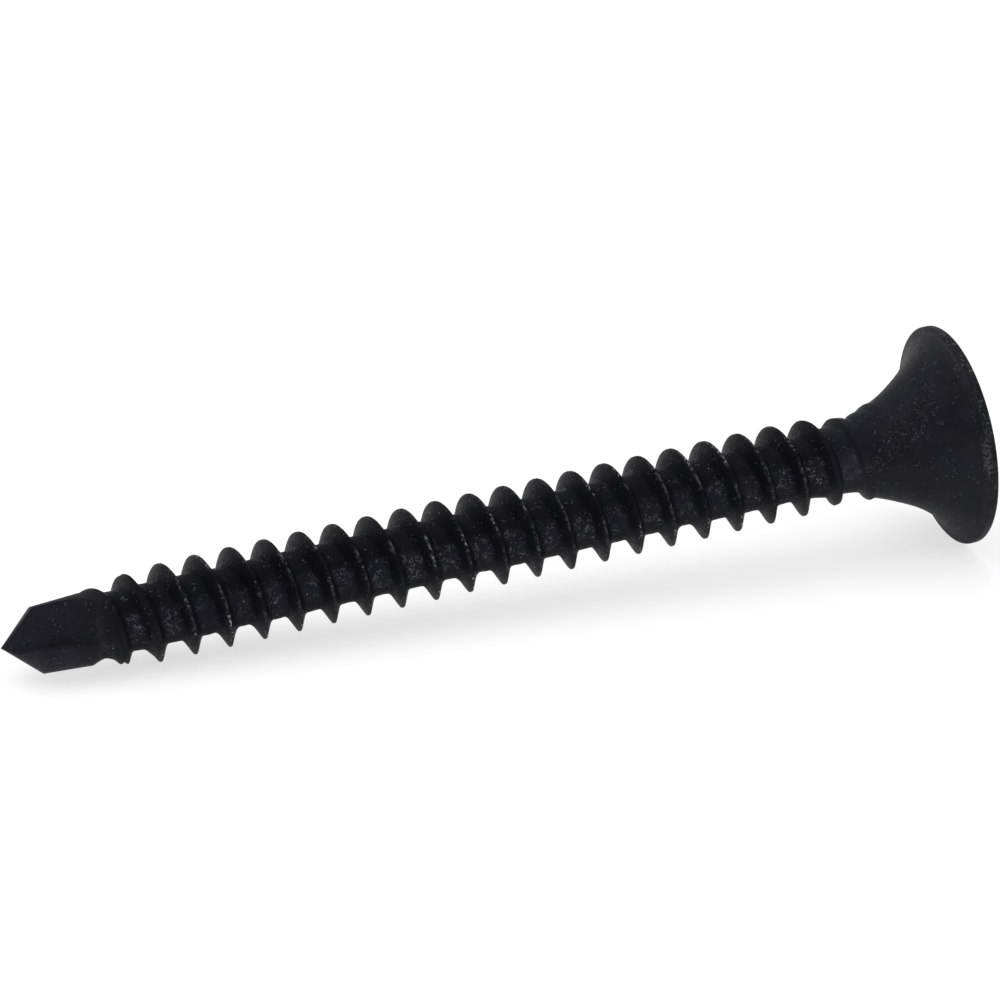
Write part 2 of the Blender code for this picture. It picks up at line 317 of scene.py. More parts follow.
# Crystals, and how the skin is roughened
CRYSTAL_SCALE = 22.0             # crystals to a millimetre
LARGE_CRYSTAL_SCALE = 13.0
WARP_SCALE = 11.0
WARP_AMOUNT = 0.06
LOOSE_SHARE = 0.7
LOOSE_RICHNESS = 0.25
STREAK_CHANCE = 0.07
STRAY_SHARE = 0.7
BROWN_SHARE = 0.8
WORN_AND_HIGHLIGHT_SHARE = 0.6
DEEP_ROUGHER = 0.12
CRYSTAL_SMOOTHER = 0.15
CRYSTAL_TILT = 1.0
SKIN_TILT = 0.09
EDGE_SOFTNESS = 0.08             # mm, at the drill's edges
EDGE_SAMPLES = 6
FINE_HEIGHT = 0.6
FINEST_HEIGHT = 0.4
BUMP_STRENGTH = 0.35
BUMP_DISTANCE = 0.03             # mm

# Studio, in mm and watts
FLOOR_HALF_WIDTH = 400.0
FLOOR_COLOUR = (0.74, 0.74, 0.74, 1.0)
FLOOR_GLOW = 0.66
FLOOR_GLOW_IN_GLOSS = 0.36
WORLD_LEVEL = 0.36
DARK_SIDE = Vector((-0.36, -0.54, 0.76))
DARK_SIDE_LEVEL = 0.30
DARK_SIDE_START = 0.20
DARK_SIDE_FULL = 0.75
OVERHEAD_PLACE = Vector((-60.0, 60.0, 300.0))
OVERHEAD_WIDTH = 420.0
OVERHEAD_DEPTH = 300.0
OVERHEAD_WATTS = 0.34

# The camera: mm, degrees and pixels of the 1000 pixel frame
CAMERA_AZIMUTH = math.radians(-21.2903)
CAMERA_ELEVATION = math.radians(23.9142)
CAMERA_ROLL = math.radians(0.4418)
CAMERA_DISTANCE = 252.0
CAMERA_PIXELS_PER_MM = 26.884
CAMERA_MIDDLE_PIXEL = (487.3613, 538.6927)   # where the axis shows, halfway along the screw
CAMERA_CLIP_START = 10.0
CAMERA_CLIP_END = 5000.0
FRAME_PIXELS = 1000.0
SENSOR_WIDTH = 36.0


def smooth_max(a, b, blend):
    """The larger of two forms, with the corner where they meet filled in."""
    share = np.clip(0.5 + 0.5 * (a - b) / blend, 0.0, 1.0)
    return a * share + b * (1.0 - share) + blend * share * (1.0 - share)


def smooth_min(a, b, blend):
    """The smaller of two forms, with the corner where they meet rounded off."""
    return -smooth_max(-a, -b, blend)


def smooth_step(low, high, value):
    """From nothing at one value to one at another, with soft ends."""
    share = np.clip((value - low) / (high - low), 0.0, 1.0)
    return share * share * (3.0 - 2.0 * share)


def swell(z, heights):
    """From nothing to one and back, between four heights."""
    low, full, fall, end = heights
    return smooth_step(low, full, z) * (1.0 - smooth_step(fall, end, z))


def ridge(across, width):
    """One in the middle of a soft ridge, falling to nothing beside it."""
    return np.exp(-((across / width) ** 2))


def angle_between(angle, middle, repeat=FULL_TURN):
    """How far an angle is from another one, which comes again after each repeat."""
    return np.abs(np.mod(angle - middle + repeat / 2, repeat) - repeat / 2)


def flare_radius(z):
    """Radius of the flare between the neck and the rim."""
    share = np.clip((z - NECK_START) / FLARE_LENGTH, 0.0, 1.0)
    rise = 1.0 - (1.0 - share ** FLARE_FULLNESS) ** (1.0 / FLARE_FULLNESS)
    return NECK_DIAMETER / 2 + (HEAD_DIAMETER - NECK_DIAMETER) / 2 * rise


def drill_radius(z):
    """Radius of the point and of the drill's body, before the flutes."""
    along = (z - POINT_LENGTH) / (DRILL_LENGTH - POINT_LENGTH)
    drill = DRILL_DIAMETER / 2 + (DRILL_END_DIAMETER - DRILL_DIAMETER) / 2 * along
    return np.where(z < POINT_LENGTH, z * math.tan(POINT_ANGLE / 2), drill)


def body_radius(z):
    """Radius of the screw without its thread."""
    root = ROOT_DIAMETER / 2
    left = np.clip(1.0 - (z - DRILL_LENGTH) / DRILL_TAPER, 0.0, 1.0)
    taper = root + (DRILL_END_DIAMETER / 2 - root) * left ** DRILL_TAPER_CURVE
    neck = root + (NECK_DIAMETER / 2 - root) * (z - NECK_START + NECK_TAPER) / NECK_TAPER
    shank = smooth_max(taper, np.minimum(neck, NECK_DIAMETER / 2), BODY_BLEND)
    delay = GROOVE_DELAY * (1.0 - smooth_step(*GROOVE_RANGE, z))
    shank = np.where(z > NECK_START, flare_radius(z - delay), shank)
    return np.where(z < DRILL_LENGTH, drill_radius(z), shank)


def crest_limit(z):
    """The thread's outer radius, which rises out of the drill body and falls on the neck."""
    crest = THREAD_DIAMETER / 2
    rise = (FIRST_TURNS_DIAMETER - RUN_IN_DIAMETER) / 2 / RUN_IN_LENGTH
    fall = (THREAD_DIAMETER - FADE_DIAMETER) / 2 / FADE_LENGTH
    run_in = RUN_IN_DIAMETER / 2 + rise * (z - RUN_IN_START)
    run_in = run_in - RUN_IN_CUT * np.clip(RUN_IN_START - z, 0.0, None)
    fade = crest - fall * (z - FADE_START)
    missing = (THREAD_DIAMETER - FIRST_TURNS_DIAMETER) / 2
    first = crest - missing * (1.0 - smooth_step(*FIRST_TURNS_RANGE, z))
    return smooth_min(smooth_min(run_in, fade, CREST_BLEND), first, CREST_BLEND)


def crest_waves(turn):
    """Slow and quick changes of the crest's height along the thread."""
    waves = sum(height * np.sin(pace * turn + start) for pace, start, height in CREST_WAVES)
    return CREST_UNEVEN * (waves - CREST_LOWER)


def root_waves(z, angle):
    """Gentle waves of the thread's root, so that no two turns are quite alike."""
    waves = sum(
        height * np.sin(around * angle + along * z + start)
        for around, along, start, height in ROOT_WAVES
    )
    return ROOT_UNEVEN * waves * swell(z, ROOT_WAVES_RANGE)


def hollowness(z):
    """One on the turns whose root is hollow, nothing on most others."""
    wave = np.cos(FULL_TURN * (z / PITCH - HOLLOW_FIRST) / HOLLOW_PERIOD)
    return np.clip(wave, 0.0, 1.0) ** HOLLOW_NARROWNESS * (z < HOLLOW_END)


def across_thread(z, angle):
    """Distance along the axis from the middle of the nearest crest."""
    lead = PITCH * angle / FULL_TURN
    drift = RUN_IN_DRIFT * (1.0 - smooth_step(RUN_IN_START, RUN_IN_DRIFT_END, z))
    drift = drift + LEAN_IN * swell(z, LEAN_IN_RANGE)
    return np.mod(z + drift - lead + PITCH / 2, PITCH) - PITCH / 2


def thread_radius(z, across):
    """Radius of the thread's ridge alone."""
    crest = THREAD_DIAMETER / 2
    slope = (crest - ROOT_DIAMETER / 2 - FILLET_HEIGHT) / ((RIDGE_WIDTH - CREST_WIDTH) / 2)
    flank = crest - slope * (np.abs(across) - CREST_WIDTH / 2)
    turn = (z - across) / PITCH * FULL_TURN
    limit = crest_limit(z) + crest_waves(turn)
    limit = limit - SEAM_DEPTH * swell(z, SEAM_RANGE) * ridge(across, SEAM_WIDTH)
    return smooth_min(flank, limit, CREST_ROUND)


def root_round(z, angle):
    """How widely the flanks run out into the root."""
    in_front = smooth_step(*START_ROUND_SIDES, np.cos(angle - START_ROUND_MIDDLE))
    soft = in_front * (1.0 - smooth_step(*START_ROUND_RANGE, z))
    return ROOT_ROUND + HOLLOW_ROUND_MORE * hollowness(z) + START_ROUND_MORE * soft


def surface_radius(z, angle):
    """Radius of the whole skin, thread included."""
    across = across_thread(z, angle)
    body = body_radius(z) + root_waves(z, angle) - HOLLOW_DEPTH * hollowness(z)
    ghost = swell(z, GHOST_RANGE)
    body = body + GHOST_HEIGHT * ghost * ridge(across, GHOST_WIDTH)
    body = body - GROOVE_FOOT_DEPTH * ghost * ridge(across + GROOVE_FOOT_AHEAD, GROOVE_FOOT_WIDTH)
    return smooth_max(body, thread_radius(z, across), root_round(z, angle))


def sag(z):
    """Sideways shift of the skin at a height, in x and y."""
    amount = SAG * swell(z, SAG_RANGE)
    return amount * math.cos(SAG_ANGLE), amount * math.sin(SAG_ANGLE)


def row_heights():
    """Where the rows of one pitch lie, from the middle of one crest to the next."""
    across_ridge = np.linspace(-RIDGE_REACH, RIDGE_REACH, ROWS_ACROSS_RIDGE)
    across_root = np.linspace(RIDGE_REACH, PITCH - RIDGE_REACH, ROWS_ACROSS_ROOT + 2)[1:-1]
    return np.concatenate([across_ridge, across_root])


def threaded_grid():
    """Points and faces of a grid whose rows follow the thread."""
    heights = row_heights()
    count = len(heights)
    first = math.floor(THREAD_GRID_START / PITCH) - 2
    last = math.ceil(THREAD_GRID_END / PITCH) + 1
    rows = np.concatenate([heights + PITCH * turn for turn in range(first, last)])
    lift = PITCH * np.arange(COLUMNS) / COLUMNS
    z = np.clip(rows[:, None] + lift[None, :], THREAD_GRID_START, THREAD_GRID_END)
    angle = np.broadcast_to(FULL_TURN * np.arange(COLUMNS) / COLUMNS, z.shape)
    radius = surface_radius(z, angle)
    points = np.stack([radius * np.cos(angle), radius * np.sin(angle), z], axis=-1)
    faces = []
    for i in range(len(rows) - 1 - count):
        for j in range(COLUMNS):
            right = (i, j + 1) if j + 1 < COLUMNS else (i + count, 0)
            corner = right[0] * COLUMNS + right[1]
            faces.append((i * COLUMNS + j, corner, corner + COLUMNS, (i + 1) * COLUMNS + j))
    return points.reshape(-1, 3), faces


def ring_grid(z, radius):
    """Points and faces of plain rings."""
    angle = FULL_TURN * np.arange(COLUMNS) / COLUMNS
    points = np.stack([
        radius[:, None] * np.cos(angle),
        radius[:, None] * np.sin(angle),
        np.broadcast_to(z[:, None], (len(z), COLUMNS)),
    ], axis=-1)
    faces = []
    for i in range(len(z) - 1):
        for j in range(COLUMNS):
            beside = (j + 1) % COLUMNS
            low = i * COLUMNS
            faces.append((low + j, low + beside, low + COLUMNS + beside, low + COLUMNS + j))
    return points.reshape(-1, 3), faces


def drill_rings():
    """Rings from the tip to where the threaded grid starts."""
    shoulder = POINT_LENGTH + SHOULDER_RINGS
    point = np.linspace(TIP_RING, shoulder[0], DRILL_RINGS)
    body = np.linspace(shoulder[-1], THREAD_GRID_START, DRILL_RINGS)
    z = np.concatenate([point, shoulder[1:-1], body])
    radius = body_radius(z) - SHOULDER_SHAVE * (z == POINT_LENGTH)
    return z, radius


def flare_rings():
    """Rings from the threaded grid's end to the rim's lower rounding."""
    share = (THREAD_GRID_END - NECK_START) / FLARE_LENGTH
    steps = np.linspace(1.0, 0.0, FLARE_RINGS)
    z = NECK_START + FLARE_LENGTH * (1.0 - (1.0 - share) * steps ** FLARE_RING_CROWDING)
    radius = flare_radius(z)
    keep = radius < HEAD_DIAMETER / 2 - FLARE_STOP
    return z[keep], radius[keep]


def rim_rings():
    """Rings round the rim: its lower rounding, its straight band and its upper rounding."""
    rim = HEAD_DIAMETER / 2
    low = np.radians(np.linspace(RIM_ARC_START, 0.0, RIM_RINGS))
    high = np.radians(np.linspace(0.0, 90.0, RIM_RINGS + 1))
    z_low = RIM_START + RIM_ROUND * (1.0 + np.sin(low))
    r_low = rim - RIM_ROUND * (1.0 - np.cos(low))
    z_band = np.linspace(z_low[-1], LENGTH - RIM_ROUND, BAND_RINGS + 2)[1:-1]
    z_high = LENGTH - RIM_ROUND * (1.0 - np.sin(high))
    r_high = rim - RIM_ROUND * (1.0 - np.cos(high))
    z = np.concatenate([z_low, z_band, z_high])
    return z, np.concatenate([r_low, np.full(len(z_band), rim), r_high])


def head_rings():
    """Rings from the threaded grid's end over the flare and rim, and in across the flat top."""
    z_flare, r_flare = flare_rings()
    z_rim, r_rim = rim_rings()
    r_top = np.linspace(r_rim[-1], TOP_MIDDLE, TOP_RINGS + 1)[1:]
    z = np.concatenate([z_flare, z_rim, np.full(len(r_top), LENGTH)])
    return z, np.concatenate([r_flare, r_rim, r_top])


def screw_grid():
    """Points and faces of the whole skin, in three parts that meet at their edges."""
    parts = [threaded_grid(), ring_grid(*drill_rings()), ring_grid(*head_rings())]
    faces = []
    offset = 0
    for part_points, part_faces in parts:
        faces += [tuple(corner + offset for corner in face) for face in part_faces]
        offset += len(part_points)
    points = np.concatenate([part_points for part_points, part_faces in parts])
    aside = sag(points[:, 2])
    points[:, 0] += aside[0]
    points[:, 1] += aside[1]
    return points, faces


def close_up(work):
    """Joins the skin's parts, drops what is left over and closes both ends."""
    bmesh.ops.remove_doubles(work, verts=work.verts, dist=MERGE)
    bmesh.ops.dissolve_degenerate(work, edges=work.edges, dist=MERGE / 4)
    loose = [vert for vert in work.verts if not vert.link_faces]
    bmesh.ops.delete(work, geom=loose, context="VERTS")
    rims = [edge for edge in work.edges if edge.is_boundary]
    caps = bmesh.ops.holes_fill(work, edges=rims, sides=0)["faces"]
    bmesh.ops.poke(work, faces=caps)
    bmesh.ops.recalc_face_normals(work, faces=work.faces)


def raw_screw():
    """The screw before its flutes and recess are cut, as one closed mesh in mm."""
    points, faces = screw_grid()
    work = bmesh.new()
    for point in points:
        work.verts.new(point)
    work.verts.ensure_lookup_table()
    for face in faces:
        work.faces.new([work.verts[corner] for corner in face])
    close_up(work)
    mesh = bpy.data.meshes.new("screw")
    work.to_mesh(mesh)
    work.free()
    return mesh


def mesh_object(name, points, faces):
    mesh = bpy.data.meshes.new(name)
    mesh.from_pydata(points, [], faces)
    item = bpy.data.objects.new(name, mesh)
    bpy.context.scene.collection.objects.link(item)
    return item


def arc(centre, radius, start, end, steps):
    angles = [start + (end - start) * i / steps for i in range(steps + 1)]
    return [(centre[0] + radius * math.cos(a), centre[1] + radius * math.sin(a)) for a in angles]


def flute_outline():
    """A flute seen from its side: a floor that rises with the web, then curves out."""
    rise = (WEB_END_THICKNESS - WEB_TIP_THICKNESS) / 2
    lean = math.atan(rise / FLUTE_LENGTH)
    along = FLUTE_LENGTH - FLUTE_END_RADIUS * math.sin(lean)
    out = WEB_END_THICKNESS / 2 + FLUTE_END_RADIUS * math.cos(lean)
    curve = arc((along, out), FLUTE_END_RADIUS, lean - math.pi / 2, 0.0, FLUTE_STEPS)
    foot = WEB_TIP_THICKNESS / 2 - OVERREACH * math.tan(lean)
    return [(-OVERREACH, foot)] + curve + [(-OVERREACH, out)]


def round_corners(item, width, steps):
    corner = item.modifiers.new("Corner", "BEVEL")
    corner.width = width
    corner.segments = steps
    return corner


def flute_tool(name, turn):
    slope = math.tan(FLUTE_LEAN)
    points = [(out, LIP_OFFSET + slope * along, along) for along, out in flute_outline()]
    item = mesh_object(name, points, [list(range(len(points)))])
    item.rotation_euler = (0.0, 0.0, FLUTE_TURN + turn)
    depth = item.modifiers.new("Depth", "SOLIDIFY")
    depth.thickness = LIP_OFFSET + DRILL_END_DIAMETER + OVERREACH
    depth.offset = -1.0
    corner = round_corners(item, FLUTE_CORNER, FLUTE_CORNER_STEPS)
    corner.limit_method = "ANGLE"
    corner.angle_limit = SHARP_BEVEL_ANGLE
    return item


def wing_tool(name, turn):
    """Two opposite wings of the recess, wider and thicker towards the head's top."""
    growth = 1.0 + OVERREACH / RECESS_DEPTH
    item = mesh_object(name, [], [])
    work = bmesh.new()
    bmesh.ops.create_cube(work, size=1.0)
    for corner in work.verts:
        share = growth if corner.co.z > 0 else 0.0
        corner.co.x *= RECESS_FLOOR_WIDTH + (RECESS_WIDTH - RECESS_FLOOR_WIDTH) * share
        corner.co.y *= WING_FLOOR_THICKNESS + (WING_THICKNESS - WING_FLOOR_THICKNESS) * share
        corner.co.z = RECESS_FLOOR + RECESS_DEPTH * share
    work.to_mesh(item.data)
    work.free()
    item.rotation_euler = (0.0, 0.0, turn)
    round_corners(item, RECESS_CORNER, RECESS_CORNER_STEPS)
    return item


def core_tool():
    """The recess's round middle, with a shallow point at its floor."""
    growth = (CORE_DIAMETER - CORE_FLOOR_DIAMETER) / 2 * OVERREACH / RECESS_DEPTH
    outline = [
        (0.0, LENGTH + OVERREACH),
        (CORE_DIAMETER / 2 + growth, LENGTH + OVERREACH),
        (CORE_FLOOR_DIAMETER / 2, RECESS_FLOOR),
        (0.0, RECESS_FLOOR - CORE_POINT_DEPTH),
    ]
    item = mesh_object("core", [(radius, 0.0, height) for radius, height in outline], [])
    item.data.edges.add(len(outline) - 1)
    for i, edge in enumerate(item.data.edges):
        edge.vertices = (i, i + 1)
    turning = item.modifiers.new("Turn", "SCREW")
    turning.steps = CORE_STEPS
    turning.render_steps = CORE_STEPS
    turning.use_merge_vertices = True
    turning.merge_threshold = MERGE
    return item


def cut(item, tool):
    boolean = item.modifiers.new(f"Cut {tool.name}", "BOOLEAN")
    boolean.operation = "DIFFERENCE"
    boolean.object = tool
    boolean.solver = "MANIFOLD"


def cut_mesh(item, tools):
    """The object's mesh with every tool cut from it; the tools are then removed."""
    for tool in tools:
        cut(item, tool)
    bpy.context.view_layer.update()
    graph = bpy.context.evaluated_depsgraph_get()
    mesh = bpy.data.meshes.new_from_object(item.evaluated_get(graph))
    item.modifiers.clear()
    for tool in tools:
        bpy.data.objects.remove(tool, do_unlink=True)
    return mesh


def store(mesh, name, values):
    layer = mesh.attributes.new(name, "FLOAT", "POINT")
    layer.data.foreach_set("value", values.astype(np.float32))


def wear(z, radius):
    """How near each point is to a crest of the thread or to the rim, where wear and painted highlights
    go.
    """
    unworn, worn = WEAR_AND_HIGHLIGHT_DEPTHS
    crest = smooth_step(THREAD_DIAMETER / 2 - unworn, THREAD_DIAMETER / 2 - worn, radius)
    rim = smooth_step(HEAD_DIAMETER / 2 - unworn, HEAD_DIAMETER / 2 - worn, radius)
    return np.maximum(crest * (z < NECK_START), rim * RIM_WEAR_AND_HIGHLIGHT)


def root_depth(z, radius):
    """How deep in the thread's root each point lies."""
    deep, shallow = ROOT_HEIGHTS
    root = 1.0 - smooth_step(ROOT_DIAMETER / 2 + deep, ROOT_DIAMETER / 2 + shallow, radius)
    return root * smooth_step(*ROOT_START, z)


def rough_and_painted_light_sides(angle):
    """How near each point is to a side whose root is rough and painted lighter."""
    sides = [
        1.0 - smooth_step(ROUGH_AND_PAINTED_LIGHT_CORE, ROUGH_AND_PAINTED_LIGHT_REACH, angle_between(angle, middle))
        for middle in ROUGH_AND_PAINTED_LIGHT_ANGLES
    ]
    return np.max(sides, axis=0)


def streak(z, angle):
    """How near each point is to the speckled streak on the flare, or to the one opposite."""
    middle = np.radians(np.interp(z, STREAK_HEIGHTS, STREAK_ANGLES))
    beside = angle_between(angle, middle, math.pi)
    return (1.0 - smooth_step(STREAK_CORE, STREAK_REACH, beside)) * swell(z, STREAK_RANGE)


def open_painted_lightness(z):
    """How much lighter each height is painted than the thread: painted light on the ends, which the
    thread's ridges don't shade.
    """
    near_tip = 1.0 - smooth_step(*TIP_RANGE, z)
    drill = 1.0 - smooth_step(*DRILL_END_RANGE, z)
    drill = drill * (DRILL_BACK_SHARE + (1.0 - DRILL_BACK_SHARE) * near_tip)
    return np.maximum(drill, smooth_step(*HEAD_END_RANGE, z) * HEAD_SHARE)


def scuff(z, angle):
    """How near each point is to the worn place on the rim."""
    beside = angle_between(angle, SCUFF_ANGLE)
    return (1.0 - smooth_step(SCUFF_CORE, SCUFF_REACH, beside)) * swell(z, SCUFF_RANGE)


def mark_places(mesh):
    """Stores for the material where each point is, and what it is near to."""
    points = np.empty(len(mesh.vertices) * 3, np.float32)
    mesh.vertices.foreach_get("co", points)
    place = mesh.attributes.new("place", "FLOAT_VECTOR", "POINT")
    place.data.foreach_set("vector", points)
    x, y, z = points.reshape(-1, 3).T
    radius = np.hypot(x, y)
    angle = np.arctan2(y, x)
    root = root_depth(z, radius)
    # where wear and painted highlights go
    store(mesh, "wear", wear(z, radius))
    store(mesh, "deep", root)
    # partly painted light: the rough root sides, which the material paints lighter
    store(mesh, "grain", root * rough_and_painted_light_sides(angle))
    store(mesh, "speckle", streak(z, angle))
    # painted light: how much lighter the ends are painted
    store(mesh, "open", open_painted_lightness(z))
    store(mesh, "drill", 1.0 - smooth_step(*DRILL_END_RANGE, z))
    store(mesh, "scuff", scuff(z, angle))


def lay_down(mesh):
    """Turns the mesh about its axis, tips it over and puts it where it rests, in metres."""
    lean = Matrix.Rotation(math.pi / 2 - SLOPE_AT_REST, 4, "Y")
    spin = Matrix.Rotation(SPIN_AT_REST, 4, "Z")
    place = Matrix.Translation(TIP_AT_REST * MM)
    mesh.transform(place @ lean @ spin @ Matrix.Scale(MM, 4))


def make_screw():
    item = bpy.data.objects.new("screw", raw_screw())
    bpy.context.scene.collection.objects.link(item)
    tools = [flute_tool("flute_a", 0.0), flute_tool("flute_b", math.pi)]
    tools += [wing_tool("wing_a", 0.0), wing_tool("wing_b", math.pi / 2), core_tool()]
    mesh = cut_mesh(item, tools)
    mark_places(mesh)
    item.data = mesh
    mesh.shade_smooth()
    mesh.set_sharp_from_angle(angle=SHARP_SHADING_ANGLE)
    lay_down(mesh)
    mesh.materials.clear()
    mesh.materials.append(phosphate())
    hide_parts("drywall_screw")
    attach(item, "root")


class Nodes:
    """Short ways to add and join the nodes of one tree."""

    def __init__(self, tree):
        self.tree = tree
        self.tree.nodes.clear()

    def add(self, kind, settings=None, **inputs):
        node = self.tree.nodes.new(kind)
        for key, value in (settings or {}).items():
            setattr(node, key, value)
        for key, value in inputs.items():
            self.feed(node.inputs[key.replace("_", " ")], value)
        return node

    def feed(self, socket, value):
        if isinstance(value, bpy.types.NodeSocket):
            self.tree.links.new(value, socket)
        else:
            socket.default_value = value

    def math(self, operation, a, b):
        node = self.tree.nodes.new("ShaderNodeMath")
        node.operation = operation
        self.feed(node.inputs[0], a)
        self.feed(node.inputs[1], b)
        return node.outputs[0]

    def product(self, first, *others):
        for other in others:
            first = self.math("MULTIPLY", first, other)
        return first

    def remap(self, value, low, high, to_low=0.0, to_high=1.0):
        node = self.tree.nodes.new("ShaderNodeMapRange")
        node.interpolation_type = "SMOOTHSTEP"
        for socket, number in zip(node.inputs[:5], (value, low, high, to_low, to_high)):
            self.feed(socket, number)
        return node.outputs[0]

    def mix(self, share, a, b):
        node = self.tree.nodes.new("ShaderNodeMix")
        node.data_type = "RGBA"
        self.feed(node.inputs[0], share)
        self.feed(node.inputs[6], a)
        self.feed(node.inputs[7], b)
        return node.outputs[2]

    def vector(self, operation, a, b=(0.0, 0.0, 0.0)):
        node = self.tree.nodes.new("ShaderNodeVectorMath")
        node.operation = operation
        self.feed(node.inputs[0], a)
        self.feed(node.inputs[1], b)
        return node.outputs["Value"] if operation == "DOT_PRODUCT" else node.outputs["Vector"]

    def scaled(self, value, amount):
        node = self.tree.nodes.new("ShaderNodeVectorMath")
        node.operation = "SCALE"
        self.feed(node.inputs[0], value)
        self.feed(node.inputs["Scale"], amount)
        return node.outputs["Vector"]

    def stored(self, name):
        return self.add("ShaderNodeAttribute", {"attribute_name": name}).outputs["Fac"]

    def noise(self, place, scale, detail, roughness):
        kind = "ShaderNodeTexNoise"
        node = self.add(kind, None, Vector=place, Scale=scale, Detail=detail, Roughness=roughness)
        return node.outputs["Fac"]

    def centred(self, colour):
        """A random colour as an offset to any side."""
        return self.vector("SUBTRACT", colour, (0.5, 0.5, 0.5))

    def warp(self, place, scale, amount):
        """A small wandering offset, to make a pattern's shapes uneven."""
        noise = self.add("ShaderNodeTexNoise", None, Vector=place, Scale=scale)
        offset = self.centred(noise.outputs["Color"])
        return self.vector("MULTIPLY", offset, (amount, amount, amount))

    def end_in(self, kind, shader):
        """Ends the tree in an output of the given kind."""
        self.feed(self.add(kind).inputs["Surface"], shader.outputs[0])


def new_material(name):
    material = bpy.data.materials.new(name)
    material.use_nodes = True
    return material


def read_marks(n):
    """What the mesh stores at each point for the material."""
    names = ("wear", "deep", "grain", "speckle", "open", "drill", "scuff")
    marks = SimpleNamespace(**{name: n.stored(name) for name in names})
    marks.place = n.add("ShaderNodeAttribute", {"attribute_name": "place"}).outputs["Vector"]
    return marks


def make_patterns(n, place):
    """The noises and the two sizes of crystal that the coating is made of."""
    seen = SimpleNamespace(**{name: n.noise(place, *noise) for name, noise in NOISES.items()})
    warped = n.vector("ADD", place, n.warp(place, WARP_SCALE, WARP_AMOUNT))
    cells = n.add("ShaderNodeTexVoronoi", None, Vector=warped, Scale=CRYSTAL_SCALE)
    large = n.add("ShaderNodeTexVoronoi", None, Vector=warped, Scale=LARGE_CRYSTAL_SCALE)
    seen.cell_colour = cells.outputs["Color"]
    seen.chance = n.add("ShaderNodeSeparateColor", None, Color=cells.outputs["Color"]).outputs[2]
    seen.large_chance = n.add("ShaderNodeSeparateColor", None, Color=large.outputs["Color"]).outputs[0]
    seen.large_distance = large.outputs["Distance"]
    return seen


def crystal_places(n, marks, seen):
    """Where crystals grow: rooted ones in the thread's root, and loose ones elsewhere."""
    rooted = n.product(
        marks.grain,
        n.remap(seen.clump, *ROOT_CLUMP_RANGE),
        n.remap(seen.patch, *ROOT_PATCH_RANGE),
        n.remap(seen.turn, *TURN_SHARES),
    )
    clumped = n.product(n.remap(seen.clump, *LOOSE_CLUMP_RANGE), LOOSE_SHARE)
    in_streak = n.product(marks.speckle, n.remap(seen.patch, *STREAK_PATCH_RANGE))
    return rooted, n.math("MAXIMUM", clumped, in_streak)


def crystal_shine(n, marks, seen, rooted, loose):
    """How much of a shining crystal each point is."""
    in_root = n.product(n.remap(seen.chance, *CRYSTAL_CHANCE_RANGE), rooted)
    likely = n.math("ADD", seen.chance, n.product(marks.speckle, STREAK_CHANCE))
    stray = n.product(
        n.remap(likely, *STRAY_CHANCE_RANGE),
        loose,
        n.remap(marks.speckle, *STRAY_STREAK_SHARES),
        STRAY_SHARE,
    )
    large = n.product(
        n.remap(seen.large_chance, *LARGE_CHANCE_RANGE),
        n.remap(seen.large_distance, *LARGE_DISTANCE_RANGE),
        n.remap(seen.clump, *LARGE_CLUMP_RANGE),
        n.remap(marks.open, *LARGE_OPEN_SHARES),
        n.remap(marks.speckle, *LARGE_STREAK_SHARES),
    )
    return n.math("MAXIMUM", n.math("MAXIMUM", in_root, stray), large)


def glints_on_crests(n, marks, seen):
    """Painted glints: short painted highlights on the worn crests and on the rim, also made metallic.
    """
    spots = n.remap(seen.glint, *GLINT_RANGE)
    return n.product(marks.wear, spots, n.remap(seen.glint_group, *GLINT_GROUP_RANGE))


def coating_colour(n, marks, seen):
    """The coating's colour, which drifts between dark, light, teal and brown, with painted light on
    the drill and head ends and on the root's rough sides.
    """
    colour = n.mix(n.remap(seen.cloud, *CLOUD_RANGE), BASE_DARK, BASE_LIGHT)
    teal = n.product(n.remap(seen.teal, *TEAL_RANGE), n.remap(marks.open, *TEAL_SHARES))
    colour = n.mix(teal, colour, BASE_TEAL)
    brown = n.product(n.remap(seen.brown, *BROWN_RANGE), BROWN_SHARE)
    colour = n.mix(brown, colour, BASE_BROWN)
    # painted light on the drill and head ends
    colour = n.vector("MULTIPLY", colour, n.mix(marks.open, WHITE, OPEN_PAINTED_LIGHTER))
    # partly painted light: the rough root is painted lighter
    return n.vector("MULTIPLY", colour, n.mix(marks.grain, WHITE, ROUGH_PAINTED_LIGHTER))


def worn_and_highlit_colour(n, marks, seen, colour, glints):
    """Adds painted highlights along the crests, as light dashes that stand for both wear and highlight
    and as glints, and the scuffed place on the rim.
    """
    highlight_dashes = n.product(
        marks.wear,
        n.remap(seen.fine, *DASH_RANGE),
        n.remap(seen.dash, *DASH_GROUP_RANGE),
        WORN_AND_HIGHLIGHT_SHARE,
    )
    # painted highlight and wear: light dashes along the crests
    colour = n.mix(highlight_dashes, colour, WORN_AND_HIGHLIGHT)
    colour = n.mix(glints, colour, GLINT)
    return n.mix(n.product(marks.scuff, n.remap(seen.fine, *SCUFF_SPOT_RANGE)), colour, SCUFFED)


def tilted_normal(n, marks, cell_colour, amount):
    """The surface's normal, softened at the drill and tilted a little in each crystal."""
    normal = n.add("ShaderNodeNewGeometry").outputs["Normal"]
    softening = {"samples": EDGE_SAMPLES}
    softened = n.add("ShaderNodeBevel", softening, Radius=EDGE_SOFTNESS * MM).outputs[0]
    normal = n.scaled(normal, n.math("SUBTRACT", 1.0, marks.drill))
    normal = n.vector("ADD", normal, n.scaled(softened, marks.drill))
    tilt = n.scaled(n.centred(cell_colour), amount)
    return n.vector("NORMALIZE", n.vector("ADD", normal, tilt))


